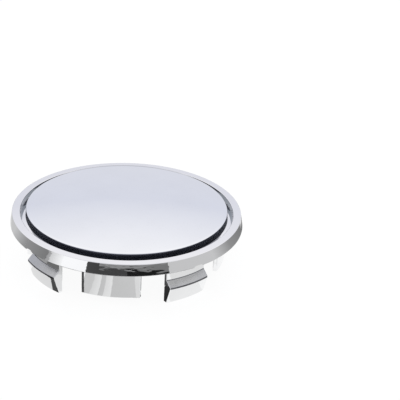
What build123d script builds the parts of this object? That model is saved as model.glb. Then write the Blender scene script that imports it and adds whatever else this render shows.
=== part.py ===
from build123d import *
import os

# Wheel centre cap: one plastic moulding, chrome plated, that snaps into the bore of a wheel.
# The cap lies face up on its clip tips. The axis of the cap is Z and the tips are at Z = 0.
# All sizes are in millimetres.

# Leg ring, which enters the wheel bore
leg_outer_radius = 26.1
leg_wall = 1.0
leg_root_chamfer = 0.5
leg_edge_chamfer = 0.2

# Rim, the outer wall that covers the edge of the bore, drafted so that it is wider at its back
rim_overhang = 3.9
rim_height = 3.1
rim_draft = 0.5
rim_top_round = 0.1
rim_back_chamfer = 0.15

# Flat ring on the face, a little higher at its inner edge
ring_width = 2.1
ring_rise = 0.12
ring_inner_chamfer = 0.15

# Groove between the ring and the domed centre
groove_width = 1.5
groove_depth = 1.2

# Domed centre of the face
dome_step = 0.95
dome_crown = 1.6
dome_edge_round = 0.2
face_wall = 2.0
inner_corner_chamfer = 0.8

# Hook clips, from the back of the rim to the tip
clip_count = 4
hook_width = 12.0
neck_length = 4.45
bevel_height = 1.5
ridge_reach = 1.6
ridge_land = 0.5
ramp_height = 4.5
tip_wall = 1.1
ridge_round = 0.25

# Plain tabs, one between each pair of hooks
tab_width = 15.0
tab_shortfall = 2.4

# Gate recess in the lower edge of the rim, over the middle of each hook
gate_width = 3.0
gate_height = 0.55
gate_depth = 0.6

# Radii and levels that follow from the sizes above
leg_inner_radius = leg_outer_radius - leg_wall
rim_radius = leg_outer_radius + rim_overhang
rim_back_radius = rim_radius + rim_draft
ring_inner_radius = rim_radius - ring_width
dome_radius = ring_inner_radius - groove_width
rim_back = neck_length + bevel_height + ridge_land + ramp_height
ring_top = rim_back + rim_height
groove_floor = ring_top - groove_depth
dome_edge = ring_top + dome_step
dome_top = dome_edge + dome_crown
leg_root = rim_back + leg_wall


def dome_height(radius):
    """Level of the domed face at a radius, on the sphere through its crown and its edge."""
    sphere_radius = (dome_radius**2 + dome_crown**2) / (2 * dome_crown)
    return dome_top - sphere_radius + (sphere_radius**2 - radius**2) ** 0.5


def corner(section, radius, height):
    """The corner of a section at a radius and height."""
    return section.vertices().sort_by_distance((radius, height, 0))[0]


def turned(section, angle):
    """Turn a section, drawn as radius and height, about the axis, half the angle to each side of +X."""
    upright = Plane.XZ * section
    return Rot(0, 0, -angle / 2) * revolve(upright, Axis.Z, angle)


def face_and_rim():
    """Domed face, groove, ring and rim, hollow underneath inside the leg ring."""
    middle = dome_radius / 2
    face_arc = ThreePointArc((0, dome_top), (middle, dome_height(middle)), (dome_radius, dome_edge))
    ceiling_edge = dome_height(leg_inner_radius) - face_wall
    inner_middle = leg_inner_radius / 2
    ceiling_arc = ThreePointArc(
        (leg_inner_radius, ceiling_edge),
        (inner_middle, dome_height(inner_middle) - face_wall),
        (0, dome_top - face_wall),
    )
    outline = Polyline(
        (dome_radius, dome_edge),
        (dome_radius, groove_floor),
        (ring_inner_radius, groove_floor),
        (ring_inner_radius, ring_top + ring_rise),
        (rim_radius, ring_top),
        (rim_back_radius, rim_back),
        (leg_inner_radius, rim_back),
        (leg_inner_radius, ceiling_edge),
    )
    axis_line = Line((0, dome_top - face_wall), (0, dome_top))
    section = make_face([face_arc, outline, ceiling_arc, axis_line])
    section = fillet(corner(section, dome_radius, dome_edge), dome_edge_round)
    section = fillet(corner(section, rim_radius, ring_top), rim_top_round)
    section = chamfer(corner(section, ring_inner_radius, ring_top + ring_rise), ring_inner_chamfer)
    section = chamfer(corner(section, rim_back_radius, rim_back), rim_back_chamfer)
    section = chamfer(corner(section, leg_inner_radius, ceiling_edge), inner_corner_chamfer)
    return turned(section, 360)


def leg(section, width):
    """One leg on +X: its turned section, cut to a width between parallel ends with broken edges."""
    slab = Box(2 * rim_radius, width, 2 * dome_top, align=(Align.MIN, Align.CENTER, Align.CENTER))
    blank = turned(section, 180) & slab
    ends = blank.faces().filter_by(Axis.Y)
    below_rim = [edge for edge in ends.edges() if edge.center().Z < rim_back]
    return chamfer(below_rim, leg_edge_chamfer)


def leg_section(outside):
    """Section of a leg, as radius and height: its outside from the tip up, then its flared root and inside."""
    tip_height = outside[0][1]
    root_radius = leg_outer_radius + leg_root_chamfer
    outline = Polyline(
        (leg_inner_radius, tip_height),
        *outside,
        (leg_outer_radius, rim_back - leg_root_chamfer),
        (root_radius, rim_back),
        (root_radius, leg_root),
        (leg_inner_radius, leg_root),
        (leg_inner_radius, tip_height),
    )
    return make_face(outline)


def hook_clip():
    """Hook clip: a neck, a bevel out to the ridge, and a long ramp back in to a thin tip."""
    ridge_radius = leg_outer_radius + ridge_reach
    ridge_low = ramp_height
    ridge_high = ridge_low + ridge_land
    bevel_top = ridge_high + bevel_height
    section = leg_section([
        (leg_inner_radius + tip_wall, 0),
        (ridge_radius, ridge_low),
        (ridge_radius, ridge_high),
        (leg_outer_radius, bevel_top),
    ])
    section = fillet(corner(section, ridge_radius, ridge_low), ridge_round)
    section = fillet(corner(section, ridge_radius, ridge_high), ridge_round)
    return leg(section, hook_width)


def plain_tab():
    """Plain tab: a curved wall that centres the cap in the bore."""
    return leg(leg_section([(leg_outer_radius, tab_shortfall)]), tab_width)


def gate_recess():
    """Shallow half-round recess in the lower edge of the rim, on +X."""
    radius = (gate_width**2 / 4 + gate_height**2) / (2 * gate_height)
    cutter = Rot(0, 90, 0) * Cylinder(radius, 2 * gate_depth)
    return Pos(rim_back_radius, 0, rim_back + gate_height - radius) * cutter


def around(solid, first_angle):
    """Copies of a solid round the axis, one for each clip."""
    pitch = 360 / clip_count
    return [Rot(0, 0, first_angle + pitch * number) * solid for number in range(clip_count)]


between_clips = 180 / clip_count
centre_cap = face_and_rim() + around(hook_clip(), 0) + around(plain_tab(), between_clips)
centre_cap = centre_cap - around(gate_recess(), 0)
centre_cap.label = "centre_cap"

os.makedirs("parts", exist_ok=True)
export_step(centre_cap, "parts/centre_cap.step")
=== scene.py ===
import math

import bmesh
import bpy
from mathutils import Matrix, Vector


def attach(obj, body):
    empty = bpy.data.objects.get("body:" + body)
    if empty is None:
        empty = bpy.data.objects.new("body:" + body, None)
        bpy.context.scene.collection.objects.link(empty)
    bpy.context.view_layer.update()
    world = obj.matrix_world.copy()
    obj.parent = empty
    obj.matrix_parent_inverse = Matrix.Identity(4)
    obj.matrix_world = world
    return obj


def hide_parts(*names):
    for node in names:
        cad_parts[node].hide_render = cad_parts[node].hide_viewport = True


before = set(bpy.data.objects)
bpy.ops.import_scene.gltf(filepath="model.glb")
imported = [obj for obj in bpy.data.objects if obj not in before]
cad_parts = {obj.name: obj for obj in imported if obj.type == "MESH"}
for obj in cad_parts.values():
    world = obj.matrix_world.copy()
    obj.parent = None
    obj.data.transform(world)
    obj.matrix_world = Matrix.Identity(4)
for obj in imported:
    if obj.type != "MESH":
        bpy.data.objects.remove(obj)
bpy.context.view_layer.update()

# Wheel centre cap: one chrome-plated moulding, lying face up on its clip tips.
# Sections are drawn as radius and height in millimetres, and built in metres about the Z axis.
MM = 0.001
FULL_TURN = math.radians(360)

# Domed face, groove, ring and rim, from the axis outwards, and the hollow underneath
DOME_RADIUS = 26.4
DOME_EDGE = 15.0
DOME_CROWN = 1.6
DOME_EDGE_ROUND = 0.2
GROOVE_FLOOR = 12.85
GROOVE_FALL = 0.3
GROOVE_CORNER_ROUND = 0.1
RING_INNER = 27.9
RING_INNER_TOP = 14.17
RING_EDGE_ROUND = 0.15
RIM_RADIUS = 30.0
RIM_DRAFT = 0.5
RIM_TOP = 14.05
RIM_EDGE_ROUND = 0.1
RIM_BACK = 10.95
RIM_BACK_ROUND = 0.15
HOLLOW_RADIUS = 25.05
HOLLOW_CORNER_ROUND = 0.6
FACE_WALL = 2.0

# Hook clips and plain tabs, whose roots are set into the back of the rim
CLIP_COUNT = 4
LEG_INNER = 25.1
LEG_OUTER = 26.1
LEG_ROOT_FLARE = 0.5
LEG_SINK = 0.02
LEG_SHOULDER = 0.7
LEG_EMBED = 11.65
LEG_EDGE_ROUND = 0.3
LEG_EDGE_ANGLE = math.radians(50)
HOOK_WIDTH = 12.0
HOOK_HALF_ANGLE = math.radians(16.8)
TIP_OUTER = 26.2
RIDGE_RADIUS = 27.7
RIDGE_LOW = 4.5
RIDGE_LOW_ROUND = 0.08
RIDGE_HIGH = 5.0
RIDGE_HIGH_ROUND = 0.1
BEVEL_TOP = 6.5
BEVEL_TOP_ROUND = 0.2
TAB_WIDTH = 15.0
TAB_HALF_ANGLE = math.radians(20.0)
TAB_BOTTOM = 2.4

# Gate recess in the lower edge of the rim, over each hook
GATE_WIDTH = 3.0
GATE_HEIGHT = 0.55
GATE_DEPTH = 0.6

# How finely the forms are divided, how near points are merged, and which edges are smooth
TURN_STEPS = 288
DOME_RINGS = 26
HOLLOW_RINGS = 12
HOOK_STEPS = 14
TAB_STEPS = 16
ROUND_SEGMENTS = 5
LEG_EDGE_SEGMENTS = 4
GATE_SIDES = 96
SAME_POINT = 0.001
SPIN_MERGE = 0.0005
SEAM_MERGE = 0.001
SEAM_REACH = 0.1
SMOOTH_ANGLE = math.radians(32)


def point(radius, height):
    """A point of a section, in metres, in the upright plane through +X."""
    return Vector((radius * MM, 0, height * MM))


def draw_section(name, points):
    """A chain of edges through points of radius and height, drawn out from a single vertex."""
    bpy.ops.object.select_all(action="DESELECT")
    bpy.ops.mesh.primitive_plane_add(size=MM)
    piece = bpy.context.object
    piece.name = name
    piece.data.name = name
    bpy.ops.object.mode_set(mode="EDIT")
    bpy.ops.mesh.select_mode(type="VERT")
    bpy.ops.mesh.merge(type="CENTER")
    bpy.ops.transform.translate(value=point(*points[0]))
    for before, after in zip(points, points[1:]):
        step = point(*after) - point(*before)
        bpy.ops.mesh.extrude_region_move(TRANSFORM_OT_translate={"value": step})
    return piece


def select_where(piece, kind, test):
    """Select only the vertices or faces of the mesh being edited that pass a test."""
    bpy.ops.mesh.select_mode(type=kind)
    bpy.ops.mesh.select_all(action="DESELECT")
    drawn = bmesh.from_edit_mesh(piece.data)
    elements = {"VERT": drawn.verts, "FACE": drawn.faces}[kind]
    for element in elements:
        if test(element):
            element.select_set(True)
    drawn.select_flush_mode()
    bmesh.update_edit_mesh(piece.data)


def round_corner(piece, corner, size):
    """Round one corner of a section."""
    place = point(*corner)
    select_where(piece, "VERT", lambda vertex: (vertex.co - place).length < SAME_POINT * MM)
    bpy.ops.mesh.bevel(offset=size * MM, segments=ROUND_SEGMENTS, affect="VERTICES")


def spin_section(half_angle, steps):
    """Turn the section about the axis, half the angle to each side of +X."""
    bpy.ops.mesh.select_all(action="SELECT")
    bpy.ops.transform.rotate(value=-half_angle, orient_axis="Z", center_override=(0, 0, 0))
    bpy.ops.mesh.spin(steps=steps, angle=2 * half_angle, center=(0, 0, 0), axis=(0, 0, 1))
    bpy.ops.mesh.select_all(action="SELECT")
    bpy.ops.mesh.remove_doubles(threshold=SPIN_MERGE * MM)


def close_up(piece):
    """Leave edit mode with every face of a closed shell turned outwards."""
    bpy.ops.mesh.select_all(action="SELECT")
    bpy.ops.mesh.normals_make_consistent(inside=False)
    bpy.ops.object.mode_set(mode="OBJECT")
    return piece


def dome_height(radius):
    """Level of the domed face at a radius, on the sphere through its crown and its edge."""
    sphere = (DOME_RADIUS**2 + DOME_CROWN**2) / (2 * DOME_CROWN)
    return DOME_EDGE + DOME_CROWN - sphere + math.sqrt(sphere**2 - radius**2)


def turned_body():
    """Domed face, groove, ring and rim, hollow underneath."""
    dome = [DOME_RADIUS * step / DOME_RINGS for step in range(DOME_RINGS + 1)]
    hollow = [HOLLOW_RADIUS * step / HOLLOW_RINGS for step in range(HOLLOW_RINGS, -1, -1)]
    ceiling = [(radius, dome_height(radius) - FACE_WALL) for radius in hollow]
    dome_foot = (DOME_RADIUS, GROOVE_FLOOR + GROOVE_FALL / 2)
    ring_foot = (RING_INNER, GROOVE_FLOOR - GROOVE_FALL / 2)
    ring_edge = (RING_INNER, RING_INNER_TOP)
    rim_edge = (RIM_RADIUS, RIM_TOP)
    rim_back = (RIM_RADIUS + RIM_DRAFT, RIM_BACK)
    hollow_edge = (HOLLOW_RADIUS, RIM_BACK)
    section = [(radius, dome_height(radius)) for radius in dome]
    section += [dome_foot, ring_foot, ring_edge, rim_edge, rim_back, hollow_edge, *ceiling]
    body = draw_section("centre_cap_moulding", section)
    round_corner(body, (DOME_RADIUS, DOME_EDGE), DOME_EDGE_ROUND)
    round_corner(body, dome_foot, GROOVE_CORNER_ROUND)
    round_corner(body, ring_foot, GROOVE_CORNER_ROUND)
    round_corner(body, ring_edge, RING_EDGE_ROUND)
    round_corner(body, rim_edge, RIM_EDGE_ROUND)
    round_corner(body, rim_back, RIM_BACK_ROUND)
    round_corner(body, ceiling[0], HOLLOW_CORNER_ROUND)
    spin_section(math.radians(180), TURN_STEPS)
    return close_up(body)


def leg(name, outside, rounds, width, half_angle, steps):
    """One leg on +X: a spun section with parallel ends, whose root goes into the back of the rim."""
    foot = outside[0][1]
    root = (LEG_OUTER, RIM_BACK + LEG_SINK)
    points = [(LEG_INNER, foot), *outside, root, (LEG_OUTER + LEG_SHOULDER, root[1])]
    points += [(LEG_OUTER + LEG_SHOULDER, LEG_EMBED), (LEG_INNER, LEG_EMBED)]
    piece = draw_section(name, points)
    round_corner(piece, root, LEG_ROOT_FLARE)
    for corner, size in zip(outside, rounds):
        if size:
            round_corner(piece, corner, size)
    bpy.ops.mesh.select_all(action="SELECT")
    bpy.ops.mesh.edge_face_add()
    spin_section(half_angle, steps)
    for side in (1, -1):
        bpy.ops.mesh.select_all(action="SELECT")
        end = side * width / 2 * MM
        bpy.ops.mesh.bisect(plane_co=(0, end, 0), plane_no=(0, side, 0), use_fill=True, clear_outer=True)
    close_up(piece)
    soften = piece.modifiers.new("broken_edges", "BEVEL")
    soften.width = LEG_EDGE_ROUND * MM
    soften.segments = LEG_EDGE_SEGMENTS
    soften.limit_method = "ANGLE"
    soften.angle_limit = LEG_EDGE_ANGLE
    bpy.ops.object.modifier_apply(modifier=soften.name)
    return piece


def hook_clip():
    """Hook clip: a neck, a bevel out to the ridge, and a long ramp back in to a thin tip."""
    tip = (TIP_OUTER, 0)
    ridge = [(RIDGE_RADIUS, RIDGE_LOW), (RIDGE_RADIUS, RIDGE_HIGH)]
    bevel_top = (LEG_OUTER, BEVEL_TOP)
    rounds = (0, RIDGE_LOW_ROUND, RIDGE_HIGH_ROUND, BEVEL_TOP_ROUND)
    return leg("hook_clip", [tip, *ridge, bevel_top], rounds, HOOK_WIDTH, HOOK_HALF_ANGLE, HOOK_STEPS)


def plain_tab():
    """Plain tab: a curved wall between two hooks."""
    return leg("plain_tab", [(LEG_OUTER, TAB_BOTTOM)], (0,), TAB_WIDTH, TAB_HALF_ANGLE, TAB_STEPS)


def gate_cutter():
    """Round bar that cuts the shallow gate recess in the lower edge of the rim, on +X."""
    radius = (GATE_WIDTH**2 / 4 + GATE_HEIGHT**2) / (2 * GATE_HEIGHT)
    bpy.ops.object.select_all(action="DESELECT")
    bpy.ops.mesh.primitive_cylinder_add(
        vertices=GATE_SIDES,
        radius=radius * MM,
        depth=2 * GATE_DEPTH * MM,
        location=point(RIM_RADIUS + RIM_DRAFT, RIM_BACK + GATE_HEIGHT - radius),
        rotation=(0, math.radians(90), 0),
    )
    cutter = bpy.context.object
    cutter.name = "gate_cutter"
    bpy.ops.object.transform_apply(location=True, rotation=True, scale=True)
    return cutter


def ring_of(piece, first_angle):
    """Copies of a piece round the axis, one for each clip, joined in one object."""
    copies = [piece]
    for _ in range(1, CLIP_COUNT):
        copy = piece.copy()
        copy.data = piece.data.copy()
        bpy.context.scene.collection.objects.link(copy)
        copies.append(copy)
    for number, copy in enumerate(copies):
        angle = math.radians(first_angle) + FULL_TURN * number / CLIP_COUNT
        copy.data.transform(Matrix.Rotation(angle, 4, "Z"))
    bpy.ops.object.select_all(action="DESELECT")
    for copy in copies:
        copy.select_set(True)
    bpy.context.view_layer.objects.active = piece
    bpy.ops.object.join()
    return piece


def combine(body, other, operation):
    """Add another solid to the body, or cut it away, and remove it."""
    bpy.ops.object.select_all(action="DESELECT")
    bpy.context.view_layer.objects.active = body
    body.select_set(True)
    joining = body.modifiers.new(operation.lower(), "BOOLEAN")
    joining.operation = operation
    joining.solver = "EXACT"
    joining.object = other
    bpy.ops.object.modifier_apply(modifier=joining.name)
    bpy.data.objects.remove(other)


def clean_seams(piece):
    """Merge the doubled points and slivers that joining leaves, and divide the faces at the leg roots."""
    bpy.ops.object.select_all(action="DESELECT")
    piece.select_set(True)
    bpy.context.view_layer.objects.active = piece
    bpy.ops.object.mode_set(mode="EDIT")
    bpy.ops.mesh.select_mode(type="VERT")
    bpy.ops.mesh.select_all(action="SELECT")
    bpy.ops.mesh.remove_doubles(threshold=SEAM_MERGE * MM)
    bpy.ops.mesh.dissolve_degenerate(threshold=SEAM_MERGE * MM)
    seam = RIM_BACK * MM
    select_where(piece, "FACE", lambda face: abs(face.calc_center_median().z - seam) < SEAM_REACH * MM)
    bpy.ops.mesh.quads_convert_to_tris(quad_method="BEAUTY", ngon_method="BEAUTY")
    bpy.ops.object.mode_set(mode="OBJECT")


def build_cap():
    """The whole moulding, in one mesh."""
    cap = turned_body()
    combine(cap, ring_of(hook_clip(), 0), "UNION")
    combine(cap, ring_of(plain_tab(), 180 / CLIP_COUNT), "UNION")
    combine(cap, ring_of(gate_cutter(), 0), "DIFFERENCE")
    clean_seams(cap)
    bpy.ops.object.shade_smooth_by_angle(angle=SMOOTH_ANGLE)
    weighted = cap.modifiers.new("even_reflections", "WEIGHTED_NORMAL")
    weighted.keep_sharp = True
    bpy.ops.object.modifier_apply(modifier=weighted.name)
    return cap


def new_node(tree, kind, place, **settings):
    """A node at a place in a tree, with its properties set."""
    node = tree.nodes.new(kind)
    node.location = place
    for name, value in settings.items():
        setattr(node, name, value)
    return node


def set_inputs(node, **values):
    """Set input sockets by name, with spaces written as underscores."""
    for name, value in values.items():
        node.inputs[name.replace("_", " ")].default_value = value
    return node


# Share of fine specks in the haze of the plating, and the levels at which haze starts and is full
SPECK_SHARE = 0.35
HAZE_START = 0.55
HAZE_FULL = 0.95


def plating_marks_group():
    """Faint haze and slow ripple that bright plating on a moulding shows, on Object coordinates."""
    group = bpy.data.node_groups.new("plating_marks", "ShaderNodeTree")
    sockets = group.interface
    for name, value in (("Haze Scale", 90.0), ("Ripple Scale", 400.0), ("Speck Scale", 4000.0)):
        sockets.new_socket(name, in_out="INPUT", socket_type="NodeSocketFloat").default_value = value
    for name, value in (("Polished Roughness", 0.02), ("Hazed Roughness", 0.06)):
        sockets.new_socket(name, in_out="INPUT", socket_type="NodeSocketFloat").default_value = value
    sockets.new_socket("Ripple Stretch", in_out="INPUT", socket_type="NodeSocketVector")
    for name in ("Haze", "Roughness", "Ripple"):
        sockets.new_socket(name, in_out="OUTPUT", socket_type="NodeSocketFloat")
    link = group.links.new
    given = new_node(group, "NodeGroupInput", (-900, 0))
    result = new_node(group, "NodeGroupOutput", (600, 0))
    place = new_node(group, "ShaderNodeTexCoord", (-900, 300))
    clouds = new_node(group, "ShaderNodeTexNoise", (-600, 300))
    set_inputs(clouds, Detail=4.0, Roughness=0.6)
    link(place.outputs["Object"], clouds.inputs["Vector"])
    link(given.outputs["Haze Scale"], clouds.inputs["Scale"])
    specks = new_node(group, "ShaderNodeTexNoise", (-600, 0))
    set_inputs(specks, Detail=2.0, Roughness=0.5)
    link(place.outputs["Object"], specks.inputs["Vector"])
    link(given.outputs["Speck Scale"], specks.inputs["Scale"])
    blend = new_node(group, "ShaderNodeMath", (-350, 200), operation="MULTIPLY_ADD")
    blend.inputs[1].default_value = SPECK_SHARE
    link(specks.outputs["Fac"], blend.inputs[0])
    link(clouds.outputs["Fac"], blend.inputs[2])
    haze = new_node(group, "ShaderNodeMapRange", (-100, 200))
    set_inputs(haze, From_Min=HAZE_START, From_Max=HAZE_FULL)
    link(blend.outputs[0], haze.inputs["Value"])
    rough = new_node(group, "ShaderNodeMapRange", (200, 100))
    link(haze.outputs["Result"], rough.inputs["Value"])
    link(given.outputs["Polished Roughness"], rough.inputs["To Min"])
    link(given.outputs["Hazed Roughness"], rough.inputs["To Max"])
    stretch = new_node(group, "ShaderNodeVectorMath", (-600, -300), operation="MULTIPLY")
    link(place.outputs["Object"], stretch.inputs[0])
    link(given.outputs["Ripple Stretch"], stretch.inputs[1])
    ripple = new_node(group, "ShaderNodeTexNoise", (-350, -300))
    set_inputs(ripple, Detail=1.0, Roughness=0.4)
    link(stretch.outputs[0], ripple.inputs["Vector"])
    link(given.outputs["Ripple Scale"], ripple.inputs["Scale"])
    link(haze.outputs["Result"], result.inputs["Haze"])
    link(rough.outputs["Result"], result.inputs["Roughness"])
    link(ripple.outputs["Fac"], result.inputs["Ripple"])
    return group


def chrome(name, marks, clean, hazed, ripple_height, stretch=(1, 1, 1), **values):
    """A chrome finish: clean plating with hazed patches and a slow ripple of some height in millimetres."""
    material = bpy.data.materials.new(name)
    material.use_nodes = True
    tree = material.node_tree
    link = tree.links.new
    shader = set_inputs(tree.nodes["Principled BSDF"], Metallic=1.0)
    group = new_node(tree, "ShaderNodeGroup", (-700, 0), node_tree=marks)
    set_inputs(group, Ripple_Stretch=stretch, **values)
    tint = new_node(tree, "ShaderNodeMix", (-350, 150), data_type="RGBA")
    tint.inputs["A"].default_value = (*clean, 1)
    tint.inputs["B"].default_value = (*hazed, 1)
    bump = new_node(tree, "ShaderNodeBump", (-350, -200))
    set_inputs(bump, Strength=1.0, Distance=ripple_height * MM)
    link(group.outputs["Haze"], tint.inputs["Factor"])
    link(tint.outputs["Result"], shader.inputs["Base Color"])
    link(group.outputs["Roughness"], shader.inputs["Roughness"])
    link(group.outputs["Ripple"], bump.inputs["Height"])
    link(bump.outputs["Normal"], shader.inputs["Normal"])
    return material


# The first four are finishes of the chrome; the last four are painted dark reflections and painted shade on
# it
FACE, RING, RIM, LEG, PAINTED_DARK_LINE, PAINTED_GREY_SHADE, DOME_WALL_SHADE, RING_WALL_SHADE = range(8)

# Finish or painted shade, radii, heights and upward part of the normal of the faces that have it, in the
# order of trying
ALL = (-math.inf, math.inf)
ZONES = [
    # Painted dark reflections: the ridge of each hook, the lower edge of the rim and the top edge of each
    # hook's bevel get near black chrome as thin dark lines
    (PAINTED_DARK_LINE, (RIDGE_RADIUS - 0.08, math.inf), (RIDGE_LOW + 0.05, RIDGE_HIGH), ALL),
    (PAINTED_DARK_LINE, (RIM_RADIUS + 0.2, math.inf), (-math.inf, RIM_BACK + 0.2), (-0.97, -0.2)),
    (PAINTED_DARK_LINE, (LEG_OUTER, LEG_OUTER + 0.08), (BEVEL_TOP - 0.08, BEVEL_TOP + 0.08), (0.1, math.inf)),
    # Painted shade: the bevel of each hook is darker grey chrome
    (PAINTED_GREY_SHADE, (LEG_OUTER, math.inf), (RIDGE_HIGH - 0.1, BEVEL_TOP + 0.05), (0.5, math.inf)),
    (LEG, ALL, (-math.inf, RIM_BACK + LEG_SINK), ALL),
    # Painted shade: the dome's wall in the groove is near black chrome
    (DOME_WALL_SHADE, (DOME_RADIUS - 0.12, DOME_RADIUS + 0.12), (GROOVE_FLOOR + 0.1, DOME_EDGE - 0.03), ALL),
    (RING, (DOME_RADIUS, RING_INNER), (-math.inf, RING_INNER_TOP - 0.12), (0.7, math.inf)),
    # Painted shade: the sides of the groove and the inner wall of the ring are darker blue grey chrome
    (RING_WALL_SHADE, (DOME_RADIUS, RING_INNER + 0.05), (-math.inf, RING_INNER_TOP - 0.12), (-math.inf, 0.7)),
    (RIM, (RIM_RADIUS - 0.03, math.inf), (-math.inf, RIM_TOP - 0.08), ALL),
    (RING, (RING_INNER, math.inf), ALL, ALL),
]


def finish_or_painted_shade_of(face):
    """Which finish, or which painted shade, a face of the moulding has, by its place."""
    radius = math.hypot(face.center.x, face.center.y) / MM
    height = face.center.z / MM
    upward = face.normal.z
    # Painted shade: the hollow underneath is darker grey chrome
    if radius < HOLLOW_RADIUS + 0.1 and height < dome_height(radius) - FACE_WALL / 4:
        return PAINTED_GREY_SHADE
    for finish, radii, heights, slopes in ZONES:
        inside = radii[0] < radius < radii[1] and heights[0] < height < heights[1]
        if inside and slopes[0] < upward < slopes[1]:
            return finish
    return FACE


cap = build_cap()
marks = plating_marks_group()
cap.data.materials.clear()
for finish in (
    chrome("polished_chrome", marks, (0.93, 0.935, 0.96), (0.90, 0.905, 0.93), 0.0004),
    chrome("ring_chrome", marks, (0.985, 0.97, 0.965), (0.955, 0.94, 0.935), 0.0004),
    chrome("rim_chrome", marks, (0.93, 0.935, 0.95), (0.90, 0.905, 0.92), 0.012, (1, 1, 3)),
    chrome("leg_chrome", marks, (0.92, 0.925, 0.93), (0.86, 0.865, 0.87), 0.02, (1, 1, 2),
           Polished_Roughness=0.03, Hazed_Roughness=0.09),
    # Painted dark reflection: near black chrome for the thin dark lines along the ridges and edges
    chrome("painted_dark_line_chrome", marks, (0.06, 0.06, 0.065), (0.2, 0.2, 0.21), 0.03,
           Polished_Roughness=0.2, Hazed_Roughness=0.4),
    # Painted shade: darker grey chrome for the hollow underneath and the hook bevels; its higher roughness
    # is duller plating
    chrome("painted_grey_shade_chrome", marks, (0.55, 0.55, 0.55), (0.47, 0.47, 0.47), 0.02,
           Polished_Roughness=0.2, Hazed_Roughness=0.27),
    # Painted shade in the groove: near black chrome on the dome's wall and darker blue grey chrome on the
    # ring's inner wall
    chrome("dome_wall_painted_shade", marks, (0.11, 0.114, 0.142), (0.115, 0.119, 0.148), 0.0004,
           Polished_Roughness=0.32, Hazed_Roughness=0.36),
    chrome("ring_wall_painted_shade", marks, (0.24, 0.27, 0.295), (0.21, 0.235, 0.26), 0.002),
):
    cap.data.materials.append(finish)
for face in cap.data.polygons:
    face.material_index = finish_or_painted_shade_of(face)
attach(cap, "root")
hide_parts("centre_cap")

# Camera at the viewing angle of the photograph.
# The sight offset says how far across, above and ahead of the camera the sight point lies.
VIEW_AZIMUTH = math.radians(50.34)
VIEW_ELEVATION = math.radians(25.88)
VIEW_ROLL = math.radians(2.63)
SIGHT_POINT = Vector((0, 0, RIM_TOP * MM))
SIGHT_OFFSET = (-19.17 * MM, -2.766 * MM, 420.0 * MM)
LENS = 144.0
SENSOR = 36.0
NEAR_CLIP = 0.01

level = Vector((math.cos(VIEW_AZIMUTH), math.sin(VIEW_AZIMUTH), 0))
away = Vector((-math.sin(VIEW_AZIMUTH), math.cos(VIEW_AZIMUTH), 0))
up = Vector((0, 0, 1))
forward = away * math.cos(VIEW_ELEVATION) - up * math.sin(VIEW_ELEVATION)
plumb = away * math.sin(VIEW_ELEVATION) + up * math.cos(VIEW_ELEVATION)
view_right = level * math.cos(VIEW_ROLL) + plumb * math.sin(VIEW_ROLL)
view_up = plumb * math.cos(VIEW_ROLL) - level * math.sin(VIEW_ROLL)
across, above, ahead = SIGHT_OFFSET

camera_data = bpy.data.cameras.new("photo_camera")
camera_data.lens = LENS
camera_data.sensor_width = SENSOR
camera_data.clip_start = NEAR_CLIP
camera = bpy.data.objects.new("photo_camera", camera_data)
bpy.context.scene.collection.objects.link(camera)
facing = Matrix((view_right, view_up, -forward)).transposed()
camera.matrix_world = Matrix.Translation(
    SIGHT_POINT - view_right * across - view_up * above - forward * ahead
) @ facing.to_4x4()
bpy.context.scene.camera = camera


def ray_mask(tree, kinds):
    """1 for rays of the named kinds, and 0 for the others."""
    path = new_node(tree, "ShaderNodeLightPath", (-1000, 300))
    mask = path.outputs[f"Is {kinds[0]} Ray"]
    for number, kind in enumerate(kinds[1:]):
        either = new_node(tree, "ShaderNodeMath", (-750 + 200 * number, 300), operation="MAXIMUM")
        tree.links.new(mask, either.inputs[0])
        tree.links.new(path.outputs[f"Is {kind} Ray"], either.inputs[1])
        mask = either.outputs[0]
    return mask


# White floor: its side in metres, its own colour and the light that it gives
FLOOR_SIZE = 4.0
FLOOR_COLOUR = (0.08, 0.08, 0.08, 1)
FLOOR_GLOW = 0.94


def white_floor():
    """A matt floor that keeps the shadow of the cap, and is near white to the eye and in the chrome."""
    material = bpy.data.materials.new("white_floor")
    material.use_nodes = True
    tree = material.node_tree
    matt = set_inputs(tree.nodes["Principled BSDF"], Roughness=1.0, Specular_IOR_Level=0.0)
    matt.inputs["Base Color"].default_value = FLOOR_COLOUR
    share = new_node(tree, "ShaderNodeMath", (-250, 300), operation="MULTIPLY")
    share.inputs[1].default_value = FLOOR_GLOW
    glow = new_node(tree, "ShaderNodeEmission", (0, 300))
    both = new_node(tree, "ShaderNodeAddShader", (300, 200))
    tree.links.new(ray_mask(tree, ("Camera", "Glossy", "Transmission")), share.inputs[0])
    tree.links.new(share.outputs[0], glow.inputs["Strength"])
    tree.links.new(matt.outputs[0], both.inputs[0])
    tree.links.new(glow.outputs[0], both.inputs[1])
    tree.links.new(both.outputs[0], tree.nodes["Material Output"].inputs["Surface"])
    return material


bpy.ops.object.select_all(action="DESELECT")
bpy.ops.mesh.primitive_plane_add(size=FLOOR_SIZE)
floor = bpy.context.object
floor.name = "studio_floor"
floor.data.materials.append(white_floor())

# Painted reflections: grey and black glowing cards that lie round the cap, out of the camera's sight, and
# show only in the chrome.
# The front is the side towards the camera, in degrees from +X.
FRONT = -39.66
CARD_STEP = 0.01
CARD_SECTORS = 24


def painted_reflection_glow():
    """Cards give their own light, in the tone that each has at a place."""
    material = bpy.data.materials.new("painted_reflection_glow")
    material.use_nodes = True
    tree = material.node_tree
    tone = new_node(tree, "ShaderNodeAttribute", (-300, 0), attribute_name="tone")
    glow = new_node(tree, "ShaderNodeEmission", (0, 0))
    tree.links.new(tone.outputs["Fac"], glow.inputs["Strength"])
    tree.links.new(glow.outputs[0], tree.nodes["Material Output"].inputs["Surface"])
    return material


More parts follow.
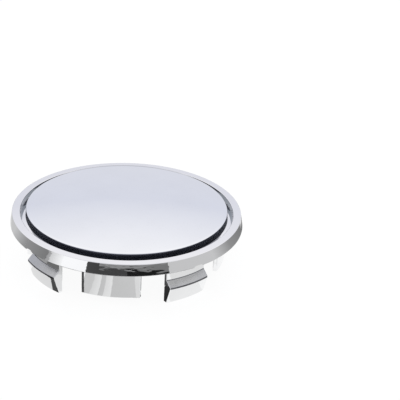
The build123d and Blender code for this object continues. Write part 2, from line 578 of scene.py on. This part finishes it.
def card(name, material, height, radii, angles, tones, middle):
    """A flat card between two radii and two angles about a middle.

    The middle is given by how far it lies to the right of the axis and in front of it.
    The tone changes evenly from the first angle to the second.
    """
    half_angle = math.radians(angles[1] - angles[0]) / 2
    piece = draw_section(name, [(radii[0], height), (radii[1], height)])
    spin_section(half_angle, CARD_SECTORS)
    bpy.ops.object.mode_set(mode="OBJECT")
    tone = piece.data.attributes.new("tone", "FLOAT", "POINT")
    for vertex, shade in zip(piece.data.vertices, tone.data):
        share = (math.atan2(vertex.co.y, vertex.co.x) / half_angle + 1) / 2
        shade.value = tones[0] + (tones[1] - tones[0]) * share
    swing = Matrix.Rotation(math.radians(angles[0] + angles[1]) / 2, 4, "Z")
    shift = Matrix.Translation((middle[1] * MM, middle[0] * MM, 0))
    piece.data.transform(Matrix.Rotation(math.radians(FRONT), 4, "Z") @ shift @ swing)
    piece.data.materials.append(material)
    piece.visible_camera = False
    piece.visible_diffuse = False
    piece.visible_transmission = False
    piece.visible_shadow = False


# Name, radii, angles to the right of the front, tones and middle of each card, the lowest first
FAR = 2900
ON_AXIS = (0, 0)
NEAR_FRONT = (-2.1, 44.6)
TAB_CORNER = (-7.25, 22.75)
HOOK_CORNER = (-12, 19.6)
CARDS = [
    # Painted shadow: the near black card under the cap and the dark cards by the ends of the legs stand in
    # for the shade under the cap, seen in the chrome
    ("under_cap_shadow", (0.5, 19.5), (-90, 90), (0.04, 0.04), ON_AXIS),
    ("front_near", (45, 75), (-46, 37), (0.5, 0.3), ON_AXIS),
    ("front_light", (70, FAR), (-28, 37), (0.3, 0.24), ON_AXIS),
    ("front_grey", (70, 104.5), (-28, 37), (0.19, 0.19), ON_AXIS),
    ("front_dark", (20, 58.4), (-40, 10), (0.055, 0.055), NEAR_FRONT),
    ("front_black", (20, 58.4), (10, 68), (0.012, 0.012), NEAR_FRONT),
    ("front_edge", (70, FAR), (-28, -18), (0.065, 0.055), ON_AXIS),
    ("left_glow", (45, FAR), (-58.8, -48), (0.66, 0.97), ON_AXIS),
    ("left_streak", (45, FAR), (-61.6, -58.8), (0.36, 0.42), ON_AXIS),
    ("left_grey", (45, FAR), (-84, -61.6), (0.29, 0.205), ON_AXIS),
    ("left_pale", (34, FAR), (-116, -84), (0.78, 0.29), ON_AXIS),
    ("right_pale", (45, FAR), (37, 76), (0.58, 0.58), ON_AXIS),
    ("right_neck", (33, 45), (38, 80), (0.8, 0.8), ON_AXIS),
    ("tab_side", (28.5, 45), (10, 20), (0.76, 0.76), ON_AXIS),
    ("tab_grey", (28.5, 45), (-6.5, 10), (0.59, 0.62), ON_AXIS),
    ("tab_strip", (28.5, 45), (-11.5, -6.5), (0.76, 0.84), ON_AXIS),
    ("tab_line", (28.5, 45), (-15, -11.5), (0.57, 0.6), ON_AXIS),
    ("tab_light", (28.5, 45), (-20.5, -15), (0.72, 0.82), ON_AXIS),
    ("tab_pale", (28.5, 45), (-28, -20.5), (0.62, 0.62), ON_AXIS),
    ("tab_edge", (28, 45), (-45, -29.5), (0.2, 0.09), ON_AXIS),
    ("tab_end", (7, 24), (-72, -45.5), (0.06, 0.07), TAB_CORNER),
    ("left_ramp", (25.5, 29.5), (-68, -41), (0.78, 0.76), ON_AXIS),
    ("left_ramp_end", (4, 16), (-90, -50), (0.07, 0.08), HOOK_CORNER),
    ("right_ramp", (25.5, 30), (29, 52), (0.88, 0.9), ON_AXIS),
    ("left_neck", (33, 45), (-64, -45), (0.16, 0.16), ON_AXIS),
    ("left_neck_pale", (33, 45), (-86, -64), (0.34, 0.34), ON_AXIS),
    ("hook_end", (21.5, 26.2), (8, 26.5), (0.035, 0.02), ON_AXIS),
    ("hook_neck_end", (19.3, 22.3), (-12, 9), (0.12, 0.06), ON_AXIS),
    ("left_hook_end", (23.2, 25.8), (-36, -17), (0.81, 0.79), ON_AXIS),
    ("left_neck_end", (23.2, 25.8), (-17, -2.5), (0.68, 0.58), ON_AXIS),
]
card_material = painted_reflection_glow()
# The cards lie round the cap twice, half a turn apart
for turn, side in ((0, 1), (180, -1)):
    for number, (name, radii, angles, tones, middle) in enumerate(CARDS):
        card(
            f"{name}_card_{turn}",
            card_material,
            CARD_STEP * (number + 1),
            radii,
            [angle + turn for angle in angles],
            tones,
            [side * offset for offset in middle],
        )

# Soft light from above: its place and side in metres, and its power
SOFTBOX_PLACE = Vector((-0.15, 0.1, 0.7))
SOFTBOX_SIZE = 0.6
SOFTBOX_ENERGY = 1.4

bpy.ops.object.light_add(type="AREA", location=SOFTBOX_PLACE)
softbox = bpy.context.object
softbox.name = "softbox"
softbox.data.shape = "SQUARE"
softbox.data.size = SOFTBOX_SIZE
softbox.data.energy = SOFTBOX_ENERGY
softbox.visible_glossy = False
softbox.rotation_euler = (-SOFTBOX_PLACE).to_track_quat("-Z", "Y").to_euler()

# Colours of a pale room, from the horizon at 0 to overhead at 1
HORIZON = (0.3, 0.31, 0.34, 1)
OVERHEAD = (0.42, 0.44, 0.5, 1)
BETWEEN = [
    (0.1, (0.56, 0.57, 0.61, 1)),
    (0.2, (0.73, 0.745, 0.81, 1)),
    (0.42, (0.715, 0.735, 0.815, 1)),
    (0.7, (0.99, 0.99, 1.0, 1)),
    (0.8, (0.85, 0.86, 0.9, 1)),
]

world = bpy.data.worlds.new("studio")
bpy.context.scene.world = world
world.use_nodes = True
tree = world.node_tree
where = new_node(tree, "ShaderNodeTexCoord", (-1000, 0))
split = new_node(tree, "ShaderNodeSeparateXYZ", (-800, 0))
room = new_node(tree, "ShaderNodeValToRGB", (-600, 0))
stops = room.color_ramp.elements
stops[0].color = HORIZON
stops[1].color = OVERHEAD
for height, colour in BETWEEN:
    stops.new(height).color = colour
seen = new_node(tree, "ShaderNodeMix", (-200, 0), data_type="RGBA")
seen.inputs["B"].default_value = (1, 1, 1, 1)
tree.links.new(where.outputs["Generated"], split.inputs[0])
tree.links.new(split.outputs["Z"], room.inputs["Fac"])
tree.links.new(ray_mask(tree, ("Camera", "Transmission")), seen.inputs["Factor"])
tree.links.new(room.outputs["Color"], seen.inputs["A"])
tree.links.new(seen.outputs["Result"], tree.nodes["Background"].inputs["Color"])

bpy.context.scene.view_settings.view_transform = "Standard"
